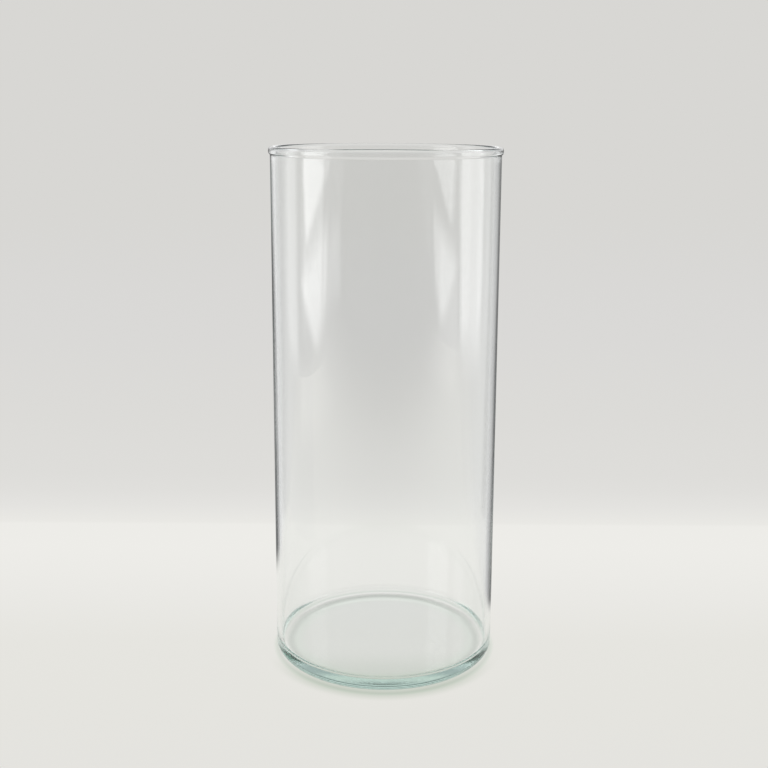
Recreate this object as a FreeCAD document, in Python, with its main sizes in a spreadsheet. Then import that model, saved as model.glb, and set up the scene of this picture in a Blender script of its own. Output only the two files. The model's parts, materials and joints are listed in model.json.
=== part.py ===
# Glass cylinder vase, in millimetres, +Z up.
#
# The vase is a straight, open glass cylinder that stands on its own foot.  The
# origin is the middle of the foot, on the plane that the vase rests on.  It is
# one continuous piece of soda-lime glass in reality, so the four bodies below
# are its zones, cut where the section changes, and each meets the next face to
# face with nothing between them:
#
#   base_disc   the floor: flat inside, a shallow punt outside and the flat
#               bearing ring that the vase stands on
#   heel_ring   the outer heel radius and the inner fillet between floor and wall
#   wall_tube   the plain cylindrical wall
#   rim_bead    the fire-polished bead around the mouth, flush with the bore on
#               the inside and slightly proud of the wall on the outside
import FreeCAD, Part
import math
import os
import Sketcher

os.makedirs("parts", exist_ok=True)

doc = FreeCAD.newDocument("glass_cylinder_vase")
V = FreeCAD.Vector

# ---------------------------------------------------------------- dimensions
sheet = doc.addObject("Spreadsheet::Sheet", "Sizes")
rows = [
    ("outer_radius", 50.0, "outside radius of the wall"),
    ("wall_thick", 2.2, "thickness of the wall"),
    ("full_height", 230.0, "foot plane to the top of the rim"),
    ("floor_thick", 5.0, "thickness of the floor at the bearing ring"),
    ("inner_fillet", 3.0, "radius between the floor and the wall, inside"),
    ("heel_radius", 4.0, "radius between the foot and the wall, outside"),
    ("punt_depth", 0.3, "rise of the underside at the middle"),
    ("punt_radius", 40.0, "where the punt ends and the bearing ring starts"),
    ("heel_top", 12.0, "height where the heel zone meets the plain wall"),
    ("bead_proud", 0.7, "how far the rim bead stands out from the wall"),
    ("bead_blend", 1.4, "height of the S-shaped blend under the bead"),
    ("bead_height", 3.8, "blend and bead together, down from the top"),
    ("bead_zone", 6.0, "height of the whole rim zone"),
]
for i, (name, value, note) in enumerate(rows, start=1):
    sheet.set("A%d" % i, name)
    sheet.set("B%d" % i, repr(value))
    sheet.setAlias("B%d" % i, name)
    sheet.set("C%d" % i, note)
# derived sizes, worked out by the sheet itself
derived = [
    ("bore_radius", "=outer_radius - wall_thick", "inside radius of the wall"),
    ("foot_radius", "=outer_radius - heel_radius", "where the bearing ring ends"),
    ("floor_radius", "=bore_radius - inner_fillet", "where the flat floor ends"),
    ("fillet_top", "=floor_thick + inner_fillet", "where the inner fillet ends"),
    ("rim_bottom", "=full_height - bead_zone", "where the rim zone starts"),
    ("bead_bottom", "=full_height - bead_height", "where the blend starts"),
    ("bead_radius", "=outer_radius + bead_proud", "outside radius of the bead"),
    ("top_round", "=(bead_radius - bore_radius) / 2", "rounding of the rim's top"),
]
for i, (name, formula, note) in enumerate(derived, start=len(rows) + 1):
    sheet.set("A%d" % i, name)
    sheet.set("B%d" % i, formula)
    sheet.setAlias("B%d" % i, name)
    sheet.set("C%d" % i, note)
doc.recompute()
S = {name: float(sheet.get(name)) for name, _, _ in rows + derived}


# ------------------------------------------------------------------- helpers
def new_body(label):
    body = doc.addObject("PartDesign::Body", label)
    body.Label = label
    return body


def section(body, name):
    """An empty half section on the body's own XZ plane: sketch x is the
    radius, sketch y is the height."""
    sk = body.newObject("Sketcher::SketchObject", name)
    plane = [f for f in body.Origin.OriginFeatures if f.Role == "XZ_Plane"][0]
    sk.AttachmentSupport = (plane, [""])
    sk.MapMode = "FlatFace"
    return sk


def line(sk, a, b):
    return sk.addGeometry(Part.LineSegment(V(a[0], a[1], 0), V(b[0], b[1], 0)), False)


def arc(sk, centre, radius, start, end):
    """Counter-clockwise arc, angles in degrees."""
    circle = Part.Circle(V(centre[0], centre[1], 0), V(0, 0, 1), radius)
    return sk.addGeometry(
        Part.ArcOfCircle(circle, math.radians(start), math.radians(end)), False)


def join(sk, g1, p1, g2, p2):
    sk.addConstraint(Sketcher.Constraint("Coincident", g1, p1, g2, p2))


def smooth(sk, g1, p1, g2, p2):
    """Joined end to end and tangent there."""
    sk.addConstraint(Sketcher.Constraint("Tangent", g1, p1, g2, p2))


def rule(sk, kind, *where):
    sk.addConstraint(Sketcher.Constraint(kind, *where))


def bind(sk, name, expression, kind, *where):
    """A named dimension that follows the sheet."""
    value = eval_size(expression)
    i = sk.addConstraint(Sketcher.Constraint(kind, *(list(where) + [value])))
    sk.renameConstraint(i, name)
    sk.setExpression("Constraints." + name, "Sizes." + expression)


def eval_size(alias):
    return S[alias]


def revolve(body, sk, name):
    rev = body.newObject("PartDesign::Revolution", name)
    rev.Profile = sk
    rev.ReferenceAxis = (sk, ["V_Axis"])
    rev.Angle = 360.0
    body.Tip = rev
    return rev


R, RI, H = S["outer_radius"], S["bore_radius"], S["full_height"]
TB, RF, RH = S["floor_thick"], S["inner_fillet"], S["heel_radius"]
RS = S["floor_radius"]

# ----------------------------------------------------------------- base_disc
# Flat floor inside; outside, a spherical punt that rises to punt_depth on the
# axis and a flat bearing ring from punt_radius out to the heel.
base = new_body("base_disc")
sk = section(base, "base_section")
RP, PD = S["punt_radius"], S["punt_depth"]
dome = (RP * RP + PD * PD) / (2.0 * PD)
half = math.degrees(math.asin(RP / dome))
g_dome = arc(sk, (0, PD - dome), dome, 90 - half, 90)      # foot to axis
g_ring = line(sk, (RP, 0), (RS, 0))
g_side = line(sk, (RS, 0), (RS, TB))
g_top = line(sk, (RS, TB), (0, TB))
g_axis = line(sk, (0, TB), (0, PD))
join(sk, g_dome, 1, g_ring, 1)
join(sk, g_ring, 2, g_side, 1)
join(sk, g_side, 2, g_top, 1)
join(sk, g_top, 2, g_axis, 1)
join(sk, g_axis, 2, g_dome, 2)
rule(sk, "Horizontal", g_ring)
rule(sk, "Vertical", g_side)
rule(sk, "Horizontal", g_top)
rule(sk, "PointOnObject", g_axis, 1, -2)
rule(sk, "PointOnObject", g_axis, 2, -2)
rule(sk, "PointOnObject", g_dome, 3, -2)
rule(sk, "PointOnObject", g_ring, 1, -1)
bind(sk, "ring_inside", "punt_radius", "DistanceX", -1, 1, g_ring, 1)
bind(sk, "ring_outside", "floor_radius", "DistanceX", -1, 1, g_ring, 2)
bind(sk, "floor", "floor_thick", "DistanceY", g_side, 1, g_side, 2)
bind(sk, "punt", "punt_depth", "DistanceY", -1, 1, g_axis, 2)
doc.recompute()
revolve(base, sk, "base_revolution")

# ----------------------------------------------------------------- heel_ring
# From the floor's edge outward and up: foot, heel radius, the first stretch of
# wall, and on the inside the fillet that runs down into the floor.
heel = new_body("heel_ring")
sk = section(heel, "heel_section")
FR, HT = S["foot_radius"], S["heel_top"]
g_foot = line(sk, (RS, 0), (FR, 0))
g_heel = arc(sk, (FR, RH), RH, -90, 0)
g_out = line(sk, (R, RH), (R, HT))
g_cap = line(sk, (R, HT), (RI, HT))
g_in = line(sk, (RI, HT), (RI, TB + RF))
g_fil = arc(sk, (RS, TB + RF), RF, -90, 0)
g_cut = line(sk, (RS, TB), (RS, 0))
smooth(sk, g_foot, 2, g_heel, 1)
smooth(sk, g_heel, 2, g_out, 1)
join(sk, g_out, 2, g_cap, 1)
join(sk, g_cap, 2, g_in, 1)
smooth(sk, g_in, 2, g_fil, 2)
join(sk, g_fil, 1, g_cut, 1)
join(sk, g_cut, 2, g_foot, 1)
rule(sk, "Horizontal", g_foot)
rule(sk, "Vertical", g_out)
rule(sk, "Horizontal", g_cap)
rule(sk, "Vertical", g_in)
rule(sk, "Vertical", g_cut)
rule(sk, "PointOnObject", g_foot, 1, -1)
bind(sk, "outside", "outer_radius", "DistanceX", -1, 1, g_out, 2)
bind(sk, "inside", "bore_radius", "DistanceX", -1, 1, g_in, 1)
bind(sk, "heel_r", "heel_radius", "Radius", g_heel)
bind(sk, "fillet_r", "inner_fillet", "Radius", g_fil)
bind(sk, "floor", "floor_thick", "DistanceY", -1, 1, g_cut, 1)
bind(sk, "edge", "floor_radius", "DistanceX", -1, 1, g_cut, 1)
bind(sk, "top", "heel_top", "DistanceY", -1, 1, g_cap, 1)
doc.recompute()
revolve(heel, sk, "heel_revolution")

# ----------------------------------------------------------------- wall_tube
wall = new_body("wall_tube")
sk = section(wall, "wall_section")
ZB = S["rim_bottom"]
g1 = line(sk, (RI, HT), (R, HT))
g2 = line(sk, (R, HT), (R, ZB))
g3 = line(sk, (R, ZB), (RI, ZB))
g4 = line(sk, (RI, ZB), (RI, HT))
join(sk, g1, 2, g2, 1)
join(sk, g2, 2, g3, 1)
join(sk, g3, 2, g4, 1)
join(sk, g4, 2, g1, 1)
rule(sk, "Horizontal", g1)
rule(sk, "Vertical", g2)
rule(sk, "Horizontal", g3)
rule(sk, "Vertical", g4)
bind(sk, "outside", "outer_radius", "DistanceX", -1, 1, g1, 2)
bind(sk, "inside", "bore_radius", "DistanceX", -1, 1, g1, 1)
bind(sk, "bottom", "heel_top", "DistanceY", -1, 1, g1, 1)
bind(sk, "top", "rim_bottom", "DistanceY", -1, 1, g3, 1)
doc.recompute()
revolve(wall, sk, "wall_revolution")

# ------------------------------------------------------------------ rim_bead
# The wall runs up, swells outward through two equal tangent arcs, runs
# straight for a moment and closes over a half-round top down to the bore.
rim = new_body("rim_bead")
sk = section(rim, "rim_section")
BB, BP, BL, RB, TR = (S["bead_bottom"], S["bead_proud"], S["bead_blend"],
                      S["bead_radius"], S["top_round"])
turn = 2.0 * math.atan2(BP, BL)
rho = BL / (2.0 * math.sin(turn))
deg = math.degrees(turn)
g_bot = line(sk, (RI, ZB), (R, ZB))
g_up = line(sk, (R, ZB), (R, BB))
g_s1 = arc(sk, (R + rho, BB), rho, 180 - deg, 180)          # end is at BB
g_s2 = arc(sk, (RB - rho, BB + BL), rho, -deg, 0)
g_flat = line(sk, (RB, BB + BL), (RB, H - TR))
g_round = arc(sk, (RI + TR, H - TR), TR, 0, 180)
g_down = line(sk, (RI, H - TR), (RI, ZB))
join(sk, g_bot, 2, g_up, 1)
smooth(sk, g_up, 2, g_s1, 2)
smooth(sk, g_s1, 1, g_s2, 1)
smooth(sk, g_s2, 2, g_flat, 1)
smooth(sk, g_flat, 2, g_round, 1)
smooth(sk, g_round, 2, g_down, 1)
join(sk, g_down, 2, g_bot, 1)
rule(sk, "Horizontal", g_bot)
rule(sk, "Vertical", g_up)
rule(sk, "Vertical", g_flat)
rule(sk, "Vertical", g_down)
rule(sk, "Equal", g_s1, g_s2)
bind(sk, "outside", "outer_radius", "DistanceX", -1, 1, g_up, 1)
bind(sk, "inside", "bore_radius", "DistanceX", -1, 1, g_bot, 1)
bind(sk, "proud", "bead_radius", "DistanceX", -1, 1, g_flat, 1)
bind(sk, "bottom", "rim_bottom", "DistanceY", -1, 1, g_bot, 1)
bind(sk, "blend_start", "bead_bottom", "DistanceY", -1, 1, g_up, 2)
bind(sk, "blend", "bead_blend", "DistanceY", g_up, 2, g_flat, 1)
i = sk.addConstraint(Sketcher.Constraint("DistanceY", -1, 1, g_round, 3, H - TR))
sk.renameConstraint(i, "round_centre")
sk.setExpression("Constraints.round_centre", "Sizes.full_height - Sizes.top_round")
doc.recompute()
revolve(rim, sk, "rim_revolution")

doc.recompute()

# -------------------------------------------------------------------- checks
for obj in doc.Objects:
    bad = [s for s in obj.State if s in ("Invalid", "Error")]
    if bad:
        raise RuntimeError("%s is %s" % (obj.Label, bad))
for obj in doc.Objects:
    if obj.TypeId == "Sketcher::SketchObject":
        left = obj.solve()
        if left != 0:
            raise RuntimeError("%s does not solve: %s" % (obj.Label, left))

bodies = [base, heel, wall, rim]
for body in bodies:
    body.Placement = FreeCAD.Placement(V(0, 0, 0), FreeCAD.Rotation(0, 0, 0, 1))
doc.recompute()




# the plain tube's volume is known exactly, so it tests the units and the axis
tube = math.pi * (R * R - RI * RI) * (ZB - HT)
if abs(wall.Shape.Volume - tube) > 1e-3 * tube:
    raise RuntimeError("wall_tube has volume %.1f, expected %.1f" % (wall.Shape.Volume, tube))

total = 0.0
for body in bodies:
    shape = body.Shape
    if shape.isNull() or not shape.isValid() or len(shape.Solids) != 1:
        raise RuntimeError("%s has no single valid solid" % body.Label)
    total += shape.Volume
for a in range(len(bodies)):
    for b in range(a + 1, len(bodies)):
        lap = bodies[a].Shape.common(bodies[b].Shape).Volume
        if lap > 0.01:
            raise RuntimeError("%s and %s overlap by %.3f" % (bodies[a].Label, bodies[b].Label, lap))

for body in bodies:
    body.Shape.exportStep(os.path.join("parts", body.Label + ".step"))
    box = body.Shape.BoundBox
    print("%-10s volume %9.1f mm3  z %7.2f to %7.2f  r %6.2f" % (
        body.Label, body.Shape.Volume, box.ZMin, box.ZMax, box.XMax))
print("total glass %.1f mm3, %.0f g at 2.50 g/cm3" % (total, total * 2.5e-3))
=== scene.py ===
import bpy, bmesh, math
from mathutils import Matrix, Vector
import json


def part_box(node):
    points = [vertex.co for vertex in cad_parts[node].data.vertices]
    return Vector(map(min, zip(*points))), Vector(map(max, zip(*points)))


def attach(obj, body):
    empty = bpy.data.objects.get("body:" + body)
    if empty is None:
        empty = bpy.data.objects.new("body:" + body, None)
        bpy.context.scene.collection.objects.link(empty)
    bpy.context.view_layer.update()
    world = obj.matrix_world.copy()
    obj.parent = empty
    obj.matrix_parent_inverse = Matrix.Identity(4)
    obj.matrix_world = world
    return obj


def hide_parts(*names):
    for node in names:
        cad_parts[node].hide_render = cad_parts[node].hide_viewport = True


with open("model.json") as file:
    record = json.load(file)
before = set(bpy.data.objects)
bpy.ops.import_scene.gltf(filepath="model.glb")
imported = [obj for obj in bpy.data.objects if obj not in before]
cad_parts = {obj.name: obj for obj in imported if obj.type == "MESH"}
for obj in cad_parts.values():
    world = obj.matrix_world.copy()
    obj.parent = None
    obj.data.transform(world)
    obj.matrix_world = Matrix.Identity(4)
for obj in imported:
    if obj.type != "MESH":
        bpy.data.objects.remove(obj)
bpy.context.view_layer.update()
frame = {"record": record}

# ---------------------------------------------------------------- sizes
# Everything that the frame holds is read from it; the rest is the glass's own
# section between those sizes, in metres.
disc_lo, disc_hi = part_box("base_disc")
wall_lo, wall_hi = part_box("wall_tube")
rim_lo, rim_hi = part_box("rim_bead")
record = frame["record"]
bore = [m for m in record["mounts"] if m["name"] == "mouth_bore"][0]["dims"]["r_mm"] / 1000.0

R = wall_hi[0]                 # outside of the wall
RI = bore                      # inside of the wall
H = rim_hi[2]                  # top of the rim
RB = rim_hi[0]                 # outside of the bead
TB = disc_hi[2]                # floor thickness
RS = disc_hi[0]                # where the flat floor ends
RF = RI - RS                   # inner fillet
RH = 0.0040                    # heel radius
PUNT = 0.0003                  # rise of the underside at the axis
BEAD_H = 0.0038                # blend and bead, down from the top
BLEND = 0.0014                 # height of the blend under the bead
TR = (RB - RI) / 2.0           # rounding of the rim's top


# ---------------------------------------------------------------- camera
# Fitted to the wall's edges, the rim and the foot.
CAM_D, CAM_H = 9.9519 * 0.05, 4.9149 * 0.05
PITCH, ROLL, YAW = math.radians(11.58), math.radians(0.261), math.radians(-0.056)
cam_data = bpy.data.cameras.new("camera")
cam = bpy.data.objects.new("camera", cam_data)
bpy.context.scene.collection.objects.link(cam)
cam_data.sensor_width = 36.0
cam_data.lens = 36.0 * 1136.16 / 768.0
cam_data.shift_x = 0.0
cam_data.shift_y = -0.0547
cam_data.clip_start, cam_data.clip_end = 0.01, 60.0
cam_data.dof.use_dof = False
cam.matrix_world = (Matrix.Translation((0.0, -CAM_D, CAM_H)) @ Matrix.Rotation(-YAW, 4, "Z")
                    @ Matrix.Rotation(math.pi / 2 - PITCH, 4, "X") @ Matrix.Rotation(ROLL, 4, "Z"))
bpy.context.scene.camera = cam


# ---------------------------------------------------------------- glass body
def arc(cx, cz, r, a0, a1, n):
    """Points of an arc, angles in degrees, both ends included."""
    return [(cx + r * math.cos(math.radians(a0 + (a1 - a0) * i / n)),
             cz + r * math.sin(math.radians(a0 + (a1 - a0) * i / n))) for i in range(n + 1)]


def span(a, b, n):
    """Points strictly between a and b, then b."""
    return [(a[0] + (b[0] - a[0]) * i / n, a[1] + (b[1] - a[1]) * i / n) for i in range(1, n + 1)]


def section():
    """The closed half section, from the underside's middle outward, up the
    outside, over the rim, down the inside and back along the floor, and the
    index of a point at the top of the rim: the points after it are on the inside skin."""
    rp = R - RH - 0.002                        # where the bearing ring starts
    pts = [(rp * i / 20.0, PUNT * (1 - (i / 20.0) ** 2) ** 2) for i in range(21)]
    pts += span(pts[-1], (R - RH, 0.0), 3)
    pts += arc(R - RH, RH, RH, -90, 0, 28)[1:]
    turn = 2.0 * math.atan2(RB - R, BLEND)
    rho = BLEND / (2.0 * math.sin(turn))
    deg = math.degrees(turn)
    zb = H - BEAD_H
    pts += span(pts[-1], (R, zb), 60)
    pts += arc(R + rho, zb, rho, 180, 180 - deg, 8)[1:]
    pts += arc(RB - rho, zb + BLEND, rho, -deg, 0, 8)[1:]
    pts += span(pts[-1], (RB, H - TR), 2)
    cut = len(pts)
    pts += arc(RI + TR, H - TR, TR, 0, 180, 28)[1:]
    pts += span(pts[-1], (RI, TB + RF), 62)
    pts += arc(RS, TB + RF, RF, 0, -90, 30)[1:]
    pts += span(pts[-1], (0.0, TB), 16)
    return pts, cut + 14


def wave(theta, z, seed):
    """Slow waviness of drawn glass, about 1 at most: mostly lines that run up
    the wall and drift a little sideways on the way."""
    s = 0.0
    for k, a, d, ph in ((2, 0.40, 3.0, 0.7), (3, 0.30, -5.0, 2.1), (5, 0.22, 4.0, 4.4),
                        (8, 0.12, -6.0, 1.3), (13, 0.06, 5.0, 5.2), (21, 0.03, 3.0, 0.2)):
        s += a * math.sin(k * theta + d * z / H + ph + seed * (1.3 * k + 0.6))
    s += 0.20 * math.sin(2 * math.pi * z / 0.083 + seed) * math.sin(2 * theta + seed)
    return s


def lathe(name, segments=320):
    pts, rim_top = section()
    bm = bmesh.new()
    rings = []
    for i, (r, z) in enumerate(pts):
        if r < 1e-9:
            rings.append([bm.verts.new((0.0, 0.0, z))])
            continue
        inside = i > rim_top
        # fade the waviness out at the rim's top and on the foot
        fade = max(0.0, min(1.0, (z - 0.004) / 0.02)) * max(0.0, min(1.0, (H - 0.003 - z) / 0.01))
        ring = []
        for k in range(segments):
            t = 2 * math.pi * k / segments
            if inside:
                rr = r + fade * 0.00010 * wave(t, z, 1.0)
            else:
                rr = r - fade * 0.00003 * (1.0 + wave(t, z, 2.0))
            ring.append(bm.verts.new((rr * math.cos(t), rr * math.sin(t), z)))
        rings.append(ring)
    for a, b in zip(rings[:-1], rings[1:]):
        for k in range(segments):
            j = (k + 1) % segments
            if len(a) == 1:
                bm.faces.new((a[0], b[j], b[k]))
            elif len(b) == 1:
                bm.faces.new((a[k], a[j], b[0]))
            else:
                bm.faces.new((a[k], a[j], b[j], b[k]))
    bmesh.ops.recalc_face_normals(bm, faces=bm.faces)
    mesh = bpy.data.meshes.new(name)
    bm.to_mesh(mesh)
    bm.free()
    mesh.shade_smooth()
    ob = bpy.data.objects.new(name, mesh)
    bpy.context.scene.collection.objects.link(ob)
    return ob


vase = lathe("vase_glass")
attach(vase, "root")
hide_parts("base_disc", "heel_ring", "wall_tube", "rim_bead")


# ---------------------------------------------------------------- materials
class Nodes:
    """Short hands for building a node tree."""

    def __init__(self, tree):
        self.t = tree
        tree.nodes.clear()

    def new(self, kind, **props):
        n = self.t.nodes.new(kind)
        for k, v in props.items():
            setattr(n, k, v)
        return n

    def link(self, a, b):
        self.t.links.new(a, b)

    def math(self, op, a, b=None, c=None, clamp=False):
        n = self.new("ShaderNodeMath", operation=op, use_clamp=clamp)
        for i, v in enumerate((a, b, c)):
            if v is None:
                continue
            if isinstance(v, (int, float)):
                n.inputs[i].default_value = v
            else:
                self.link(v, n.inputs[i])
        return n.outputs[0]

    def smooth(self, v, lo, hi, a=0.0, b=1.0):
        n = self.new("ShaderNodeMapRange", interpolation_type="SMOOTHSTEP")
        self.link(v, n.inputs["Value"])
        n.inputs["From Min"].default_value = lo
        n.inputs["From Max"].default_value = hi
        n.inputs["To Min"].default_value = a
        n.inputs["To Max"].default_value = b
        return n.outputs[0]

    def ramp(self, v, stops):
        n = self.new("ShaderNodeValToRGB")
        e = n.color_ramp.elements
        while len(e) < len(stops):
            e.new(0.5)
        for el, (p, c) in zip(e, stops):
            el.position = p
            el.color = (c[0], c[1], c[2], 1.0) if isinstance(c, tuple) else (c, c, c, 1.0)
        self.link(v, n.inputs[0])
        return n.outputs[0]


def srgb(r, g, b):
    return tuple(((v / 255.0 + 0.055) / 1.055) ** 2.4 if v / 255.0 > 0.04045 else v / 255.0 / 12.92
                 for v in (r, g, b))


def glass_material():
    m = bpy.data.materials.new("clear_glass")
    m.use_nodes = True
    n = Nodes(m.node_tree)
    out = n.new("ShaderNodeOutputMaterial")
    p = n.new("ShaderNodeBsdfPrincipled")
    p.inputs["Base Color"].default_value = (1.0, 1.0, 1.0, 1.0)
    p.inputs["Metallic"].default_value = 0.0
    p.inputs["Transmission Weight"].default_value = 1.0
    p.inputs["IOR"].default_value = 1.52
    n.link(p.outputs[0], out.inputs["Surface"])
    vol = n.new("ShaderNodeVolumeAbsorption")
    vol.inputs["Color"].default_value = (0.58, 0.80, 0.735, 1.0)
    vol.inputs["Density"].default_value = 11.5
    n.link(vol.outputs[0], out.inputs["Volume"])
    # fine vertical draw lines and a few soft wipe marks
    pos = n.new("ShaderNodeTexCoord").outputs["Object"]
    sep = n.new("ShaderNodeSeparateXYZ")
    n.link(pos, sep.inputs[0])
    ang = n.math("ARCTAN2", sep.outputs["X"], sep.outputs["Y"])
    comb = n.new("ShaderNodeCombineXYZ")
    n.link(n.math("MULTIPLY", ang, 6.0), comb.inputs["X"])
    n.link(n.math("MULTIPLY", sep.outputs["Z"], 5.0), comb.inputs["Z"])
    lines = n.new("ShaderNodeTexNoise")
    lines.inputs["Scale"].default_value = 9.0
    lines.inputs["Detail"].default_value = 3.0
    lines.inputs["Roughness"].default_value = 0.55
    n.link(comb.outputs[0], lines.inputs["Vector"])
    bump = n.new("ShaderNodeBump")
    bump.inputs["Strength"].default_value = 0.25
    bump.inputs["Distance"].default_value = 0.00002
    n.link(lines.outputs["Fac"], bump.inputs["Height"])
    n.link(bump.outputs[0], p.inputs["Normal"])
    smear = n.new("ShaderNodeTexNoise")
    smear.inputs["Scale"].default_value = 22.0
    smear.inputs["Detail"].default_value = 5.0
    smear.inputs["Distortion"].default_value = 1.2
    n.link(pos, smear.inputs["Vector"])
    n.link(n.smooth(smear.outputs["Fac"], 0.60, 0.78, 0.0, 0.035), p.inputs["Roughness"])
    return m


vase.data.materials.append(glass_material())

# ---------------------------------------------------------------- stage
# A pale floor that runs to the horizon and a pale studio around it.  What the
# glass mirrors is a painted studio that only reflections show: a table with a
# painted lit patch, grey sides, a dark far end and large soft lights.


def emitter(name, build):
    m = bpy.data.materials.new(name)
    m.use_nodes = True
    n = Nodes(m.node_tree)
    out = n.new("ShaderNodeOutputMaterial")
    n.link(build(n), out.inputs["Surface"])
    return m


def mirrored(n):
    """1 for light that has met at least one mirror-like surface, else 0."""
    return n.math("GREATER_THAN", n.new("ShaderNodeLightPath").outputs["Glossy Depth"], 0.5)


def grey_stops(rows, lo, hi):
    return [((y - lo) / (hi - lo), srgb(*c)) for y, c in rows]


def floor_shader(n):
    pos = n.new("ShaderNodeNewGeometry").outputs["Position"]
    sep = n.new("ShaderNodeSeparateXYZ")
    n.link(pos, sep.inputs[0])
    y = sep.outputs["Y"]
    # the floor's brightness is painted by Y: lightest just behind the vase, a soft step darker at y 0.155 where a
    # table's back edge would be, then a darker grey out to the far floor
    near = n.ramp(n.smooth_lin(y, -0.12, 0.40), grey_stops([
        (-0.12, (228, 227, 223)), (-0.06, (229, 228, 223)), (0.00, (230, 229, 224)), (0.05, (234, 233, 229)),
        (0.08, (236, 235, 231)), (0.115, (237.5, 236.5, 232.5)), (0.1525, (237, 236, 232)), (0.156, (233.5, 232.5, 228.5)),
        (0.171, (230.5, 229.5, 226)), (0.187, (227.5, 226.5, 223.5)), (0.215, (224, 223, 220)), (0.25, (222, 221, 218)),
        (0.33, (221, 220, 217)), (0.40, (220, 219, 216))], -0.12, 0.40))
    far = n.ramp(n.smooth_lin(y, 0.40, 3.0), [
        (0.0, srgb(220, 219, 216)), (0.12, srgb(218, 217, 215)), (0.35, srgb(217, 216, 214)), (1.0, srgb(216, 215, 212))])
    direct = n.new("ShaderNodeMix", data_type="RGBA")
    n.link(n.math("GREATER_THAN", y, 0.40), direct.inputs[0])
    n.link(near, direct.inputs[6])
    n.link(far, direct.inputs[7])
    # painted light and shade on the table round the foot, cast by no lamp: soft rings of shade where the foot meets
    # the table, partly tinted green, a faint brightening just outside the foot, and a green-tinted darkening in front
    # of it
    rad = n.math("SQRT", n.math("ADD", n.math("POWER", sep.outputs["X"], 2.0), n.math("POWER", y, 2.0)))
    shade = n.ramp(n.smooth_lin(rad, 0.036, 0.068), [((r0 - 0.036) / 0.032, (v * c[0], v * c[1], v * c[2]))
                                                     for r0, v, c in FOOT_PAINTED_SHADE])
    em = n.new("ShaderNodeEmission")
    tone = n.new("ShaderNodeMix", data_type="RGBA", blend_type="MULTIPLY", clamp_result=False)
    tone.inputs[0].default_value = 1.0
    # far out in every direction the floor takes the backdrop's tone
    spread = n.new("ShaderNodeMix", data_type="RGBA")
    n.link(n.smooth_s(rad, 0.8, 2.6), spread.inputs[0])
    n.link(direct.outputs[2], spread.inputs[6])
    spread.inputs[7].default_value = (*srgb(216, 215, 212), 1.0)
    n.link(spread.outputs[2], tone.inputs[6])
    n.link(shade, tone.inputs[7])
    # painted shade, tinted green, on the table under the front half of the foot and just past it, out to radius 0.057,
    # on the -Y side only
    front = n.math("MULTIPLY", n.math("SUBTRACT", 1.0, n.smooth_s(rad, 0.0502, 0.0568)), n.smooth_s(y, -0.012, -0.046))
    painted_front_shade = n.new("ShaderNodeMix", data_type="RGBA", blend_type="MULTIPLY", clamp_result=False)
    n.link(front, painted_front_shade.inputs[0])
    n.link(tone.outputs[2], painted_front_shade.inputs[6])
    painted_front_shade.inputs[7].default_value = (0.80, 0.845, 0.80, 1.0)
    n.link(painted_front_shade.outputs[2], em.inputs[0])
    # painted pool of light on the table to the left, on the camera's side of the vase, seen only in mirrors: the floor
    # glows brighter there in reflections
    mirror_lit_patch = n.math("MULTIPLY", n.smooth_s(sep.outputs["X"], -0.34, -0.50), n.smooth_s(y, 0.04, -0.02))
    mirror_lit_patch = n.math("MULTIPLY", mirror_lit_patch, n.smooth_s(y, -0.40, -0.28))
    mirror_lit_patch = n.math("MULTIPLY", n.math("MULTIPLY", mirror_lit_patch, mirrored(n)), 0.55)
    n.link(n.math("ADD", mirror_lit_patch, 1.05), em.inputs[1])
    # in mirrors only the floor is cut to a table's size, and past its ends the studio sky shows: a painted reflection,
    # as the floor seen directly runs on
    table = n.math("MULTIPLY", n.smooth_s(y, -0.58, -0.10), n.smooth_s(sep.outputs["X"], -0.90, -0.60))
    table = n.math("MULTIPLY", table, n.math("SUBTRACT", 1.0, n.smooth_s(sep.outputs["X"], 0.60, 0.90)))
    table = n.math("MULTIPLY", table, n.math("SUBTRACT", 1.0, n.smooth_s(y, 0.145, 0.175)))
    # two more cuts near the vase, seen only in mirrors, where the studio sky shows in place of the floor: painted
    # reflections
    right_mirror_cut = n.math("MULTIPLY", n.smooth_s(sep.outputs["X"], 0.055, 0.065), n.smooth_s(y, 0.026, 0.046))
    left_mirror_cut = n.math("MULTIPLY", n.smooth_s(sep.outputs["X"], -0.062, -0.075), n.smooth_s(y, 0.070, 0.110))
    table = n.math("MULTIPLY", table, n.math("SUBTRACT", 1.0, n.math("MAXIMUM", right_mirror_cut, left_mirror_cut)))
    gone = n.math("MULTIPLY", mirrored(n), n.math("SUBTRACT", 1.0, table))
    tr = n.new("ShaderNodeBsdfTransparent")
    ends = n.new("ShaderNodeMixShader")
    n.link(gone, ends.inputs[0])
    n.link(em.outputs[0], ends.inputs[1])
    n.link(tr.outputs[0], ends.inputs[2])
    return ends.outputs[0]


def smooth_lin(self, v, lo, hi):
    n = self.new("ShaderNodeMapRange", interpolation_type="LINEAR", clamp=True)
    self.link(v, n.inputs["Value"])
    n.inputs["From Min"].default_value = lo
    n.inputs["From Max"].default_value = hi
    return n.outputs[0]


def smooth_s(self, v, lo, hi):
    return self.smooth(v, lo, hi)


Nodes.smooth_lin = smooth_lin
Nodes.smooth_s = smooth_s


def sheet_of(name, corners, material):
    mesh = bpy.data.meshes.new(name)
    mesh.from_pydata([tuple(c) for c in corners], [], [list(range(len(corners)))])
    mesh.materials.append(material)
    ob = bpy.data.objects.new(name, mesh)
    bpy.context.scene.collection.objects.link(ob)
    return ob


FLOOR_Z = -0.0002
SKY = 1.25
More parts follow.
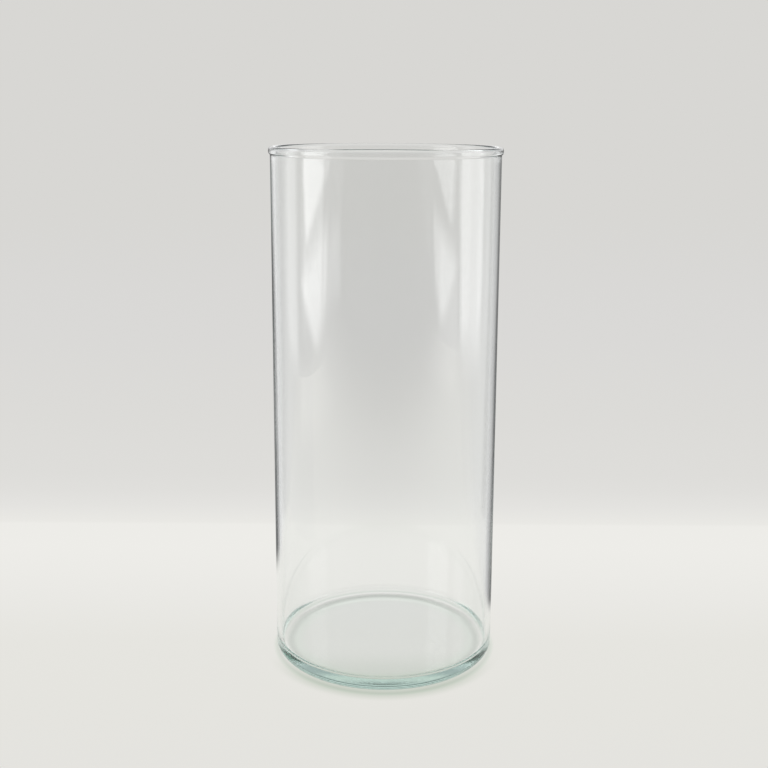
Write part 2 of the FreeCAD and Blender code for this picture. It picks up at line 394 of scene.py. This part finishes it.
# painted shade and faint painted light on the table by distance from the axis, against 0.952 for the open table: rings
# of shade at the foot, some tinted green
GREY, AQUA = (1.0, 1.0, 1.0), (0.965, 1.012, 0.982)
FOOT_PAINTED_SHADE = ((0.036, 0.940, GREY), (0.0408, 0.930, AQUA), (0.0422, 0.81, AQUA), (0.0434, 0.70, AQUA), (0.0444, 0.77, AQUA),
           (0.0460, 0.90, GREY), (0.0475, 0.93, GREY), (0.0496, 0.820, AQUA), (0.0506, 0.890, AQUA), (0.0518, 0.955, GREY),
           (0.058, 0.958, GREY), (0.068, 0.952, GREY))
sheet_of("studio_floor", [(-20, -20, FLOOR_Z), (20, -20, FLOOR_Z), (20, 20, FLOOR_Z), (-20, 20, FLOOR_Z)],
         emitter("floor_paper", floor_shader))


def soft_card(name, x, corners, strength):
    """An upright light at X = x that only mirrors show.  corners are (y, z,
    fade) in order, anticlockwise as seen with +Y to the right: fade is how
    softly the edge that starts at that corner ends, in metres."""
    ys = [c[0] for c in corners]
    zs = [c[1] for c in corners]
    pad = 0.06

    def build(n):
        pos = n.new("ShaderNodeNewGeometry").outputs["Position"]
        sep = n.new("ShaderNodeSeparateXYZ")
        n.link(pos, sep.inputs[0])
        level = None
        for i, (y0, z0, fade) in enumerate(corners):
            y1, z1, _ = corners[(i + 1) % len(corners)]
            length = math.hypot(y1 - y0, z1 - z0)
            ny, nz = -(z1 - z0) / length, (y1 - y0) / length
            d = n.math("MULTIPLY_ADD", sep.outputs["Y"], ny, -(ny * y0 + nz * z0))
            d = n.math("MULTIPLY_ADD", sep.outputs["Z"], nz, d)
            e = n.smooth(d, -fade / 2, fade / 2)
            level = e if level is None else n.math("MULTIPLY", level, e)
        em = n.new("ShaderNodeEmission")
        em.inputs[1].default_value = strength
        tr = n.new("ShaderNodeBsdfTransparent")
        mix = n.new("ShaderNodeMixShader")
        n.link(n.math("MULTIPLY", level, mirrored(n)), mix.inputs[0])
        n.link(tr.outputs[0], mix.inputs[1])
        n.link(em.outputs[0], mix.inputs[2])
        return mix.outputs[0]

    lo_y, hi_y, lo_z, hi_z = min(ys) - pad, max(ys) + pad, min(zs) - pad, max(zs) + pad
    sheet_of(name, [(x, lo_y, lo_z), (x, hi_y, lo_z), (x, hi_y, hi_z), (x, lo_y, hi_z)],
             emitter(name + "_glow", build))


soft_card("softbox_left_upper", -0.60, [
    (-0.416, 0.196, 0.02), (-0.085, 0.126, 0.02), (-0.048, 0.20, 0.02), (-0.048, 0.75, 0.05), (-0.416, 0.75, 0.02)], 2.2)
soft_card("softbox_left_lower", -0.602, [
    (-0.36, 0.052, 0.05), (-0.22, 0.020, 0.03), (0.00, 0.088, 0.05), (-0.02, 0.10, 0.05), (-0.40, 0.135, 0.04)], 1.9)
soft_card("softbox_left_dim", -0.604, [
    (-0.306, 0.000, 0.06), (0.05, 0.000, 0.05), (0.05, 0.75, 0.05), (-0.90, 0.75, 0.05), (-0.90, 0.235, 0.06)], 0.35)
soft_card("softbox_left_fill", -0.606, [
    (-0.02, 0.00, 0.05), (0.24, 0.02, 0.14), (0.24, 0.75, 0.05), (-0.02, 0.75, 0.05)], 1.35)
soft_card("softbox_right_low", 0.604, [
    (-0.46, 0.030, 0.05), (-0.17, 0.030, 0.03), (-0.17, 0.105, 0.05), (-0.46, 0.125, 0.08)], 1.00)
soft_card("softbox_right", 0.60, [
    (-0.165, 0.60, 0.03), (-0.171, 0.20, 0.015), (-0.105, 0.025, 0.085), (0.31, 0.025, 0.08), (0.20, 0.20, 0.06),
    (0.20, 0.60, 0.05)], 1.7)

world = bpy.data.worlds.new("studio")
bpy.context.scene.world = world
world.use_nodes = True
n = Nodes(world.node_tree)
out = n.new("ShaderNodeOutputWorld")
bg = n.new("ShaderNodeBackground")
n.link(bg.outputs[0], out.inputs[0])
gen = n.new("ShaderNodeTexCoord").outputs["Generated"]
sep = n.new("ShaderNodeSeparateXYZ")
n.link(gen, sep.inputs[0])
az = n.math("ARCTAN2", sep.outputs["X"], sep.outputs["Y"])       # 0 ahead, + to the right
low = n.smooth_lin(sep.outputs["Z"], -0.29, 0.0)
# the left side's edge leans: it comes in as the view rises
lean = n.math("MULTIPLY_ADD", low, 0.36, 1.0)
lean = n.math("MULTIPLY", n.math("SUBTRACT", lean, 1.0), n.math("LESS_THAN", az, 0.0))
az = n.math("MULTIPLY", az, n.math("ADD", lean, 1.0))
turn = n.math("MULTIPLY_ADD", az, 1.0 / (2 * math.pi), 0.5, clamp=True)


def at(deg):
    return 0.5 + deg / 360.0


# painted reflections: the studio round the horizon that only mirrors see, brightness by direction, with dark bands just
# either side of straight ahead, dark behind the camera, and a brighter sky ahead above it
around = n.ramp(turn, [
    (at(-180), 0.02), (at(-120), 0.02), (at(-95), 0.60), (at(-50), 0.88), (at(-31.0), 0.85), (at(-27.5), 0.17),
    (at(-12), 0.16), (at(-7), 0.66), (at(7), 0.66), (at(11), 0.14), (at(24), 0.14), (at(28), 0.44), (at(35), 0.60),
    (at(44), 0.75), (at(95), 0.60), (at(125), 0.10), (at(140), 0.02), (at(180), 0.02)])
sky = n.ramp(turn, [
    (at(-180), 0.10), (at(-65), 0.22), (at(-32), 1.0), (at(32), 1.0), (at(65), 0.22), (at(180), 0.10)])
lifted = n.new("ShaderNodeMix", data_type="RGBA")
n.link(n.math("MULTIPLY", low, 0.25), lifted.inputs[0])
n.link(around, lifted.inputs[6])
lifted.inputs[7].default_value = (0.55, 0.55, 0.54, 1.0)
above = n.new("ShaderNodeMix", data_type="RGBA")
n.link(n.smooth_s(sep.outputs["Z"], 0.0, 0.10), above.inputs[0])
n.link(lifted.outputs[2], above.inputs[6])
boost = n.new("ShaderNodeMix", data_type="RGBA", blend_type="MULTIPLY", clamp_result=False)
boost.inputs[0].default_value = 1.0
n.link(sky, boost.inputs[6])
boost.inputs[7].default_value = (SKY, SKY, SKY, 1.0)
n.link(boost.outputs[2], above.inputs[7])
high = n.smooth_s(sep.outputs["Z"], 0.18, 0.38)
mirror_env = n.new("ShaderNodeMix", data_type="RGBA")
n.link(high, mirror_env.inputs[0])
n.link(above.outputs[2], mirror_env.inputs[6])
mirror_env.inputs[7].default_value = (0.50, 0.52, 0.53, 1.0)
# mirrors see the painted studio; the camera and light through the glass see the plain backdrop
pick = n.new("ShaderNodeMix", data_type="RGBA")
n.link(mirrored(n), pick.inputs[0])
plain = n.ramp(turn, [
    (at(-180), 0.28), (at(-100), 0.30), (at(-55), srgb(216, 215, 212)), (at(55), srgb(216, 215, 212)), (at(100), 0.30),
    (at(180), 0.28)])
backdrop = n.new("ShaderNodeMix", data_type="RGBA")
n.link(n.smooth_s(sep.outputs["Z"], 0.24, 0.42), backdrop.inputs[0])
backdrop.inputs[6].default_value = (*srgb(216, 215, 212), 1.0)
n.link(plain, backdrop.inputs[7])
n.link(backdrop.outputs[2], pick.inputs[6])
n.link(mirror_env.outputs[2], pick.inputs[7])
n.link(pick.outputs[2], bg.inputs[0])

sc = bpy.context.scene
sc.view_settings.view_transform = "Standard"
sc.view_settings.look = "None"
sc.cycles.max_bounces = 40
sc.cycles.transmission_bounces = 40
sc.cycles.glossy_bounces = 24
sc.cycles.transparent_max_bounces = 16

import json
